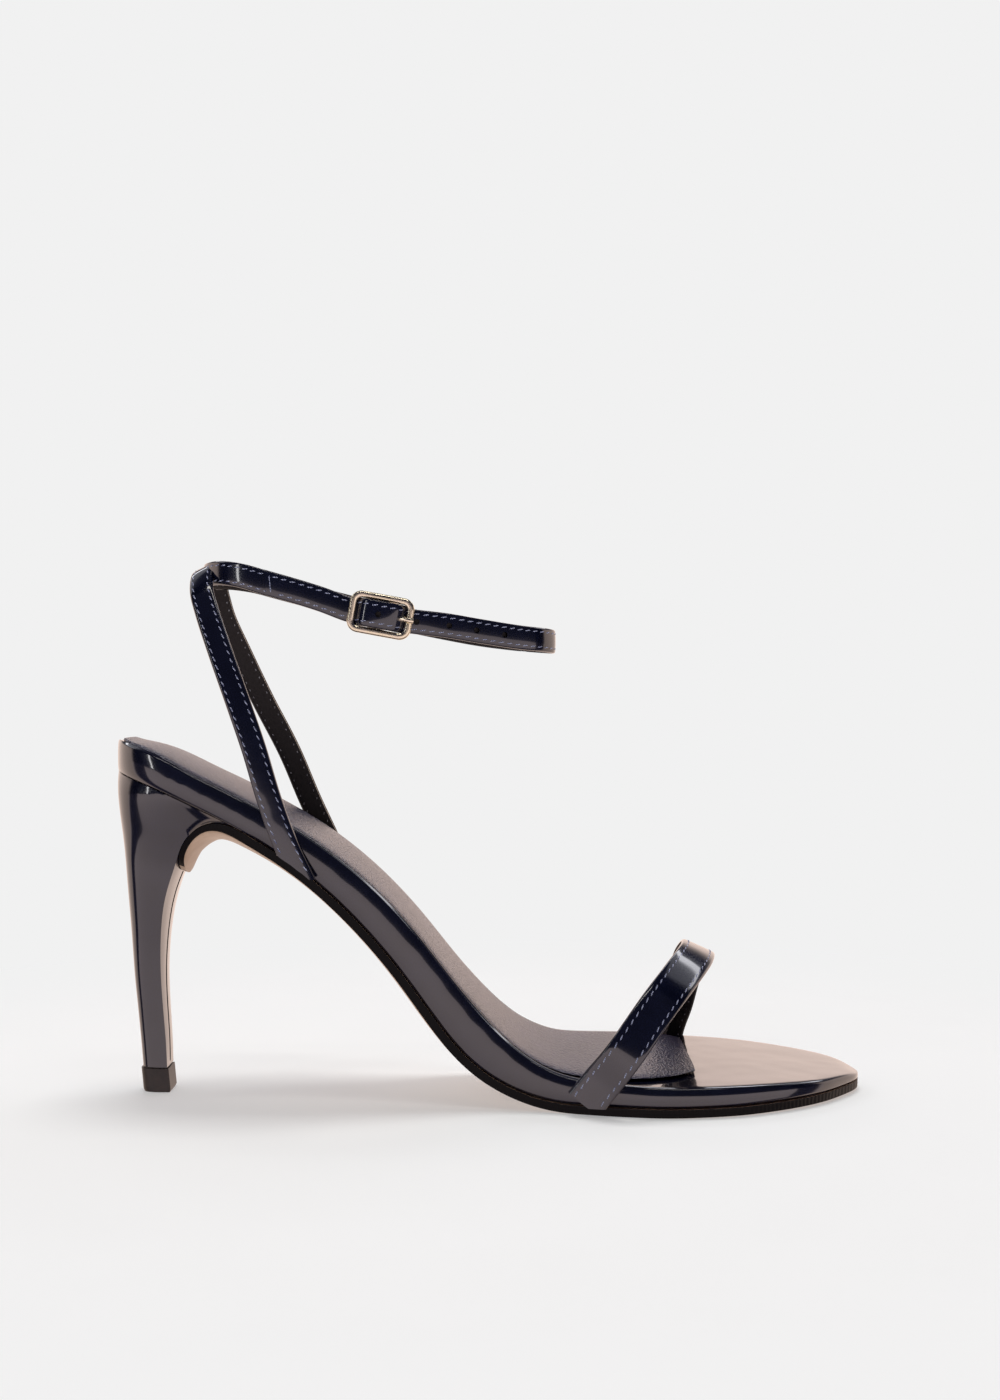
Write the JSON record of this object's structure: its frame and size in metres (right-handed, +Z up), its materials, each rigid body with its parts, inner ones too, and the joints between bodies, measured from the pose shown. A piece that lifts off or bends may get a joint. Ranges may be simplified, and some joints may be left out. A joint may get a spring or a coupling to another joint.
{
  "type": "strappy heeled sandal",
  "caption": "High-heeled open sandal for a right foot: patent straps over the toes, behind the heel and round the ankle, with a centre-bar buckle.",
  "frame": {"origin": "on the floor, in the middle of the flat underside of the heel's top piece", "axes": "+X from the heel to the toe, +Y towards the inner side of the right foot, +Z up"},
  "size_m": [0.2187, 0.0733, 0.1559],
  "materials": {
    "sole_leather": "smooth tan sole leather with a painted black edge",
    "board_patent": "near-black navy patent leather",
    "sock_nappa": "navy-violet grained nappa, satin",
    "heel_patent": "near-black navy patent leather",
    "top_piece_rubber": "dark brown polyurethane, satin",
    "toe_strap_patent": "near-black navy patent leather, lined",
    "ankle_strap_patent": "near-black navy patent leather, lined",
    "buckle_gilt": "polished light gold plate",
    "pin_gilt": "polished light gold plate"
  },
  "bodies": {
    "root": {"outsole": "sole_leather", "footbed_board": "board_patent", "insole_sock": "sock_nappa", "heel": "heel_patent", "top_piece": "top_piece_rubber", "toe_strap": "toe_strap_patent", "ankle_straps": "ankle_strap_patent", "buckle_frame": "buckle_gilt", "buckle_pin": "pin_gilt"}
  },
  "joints": []
}
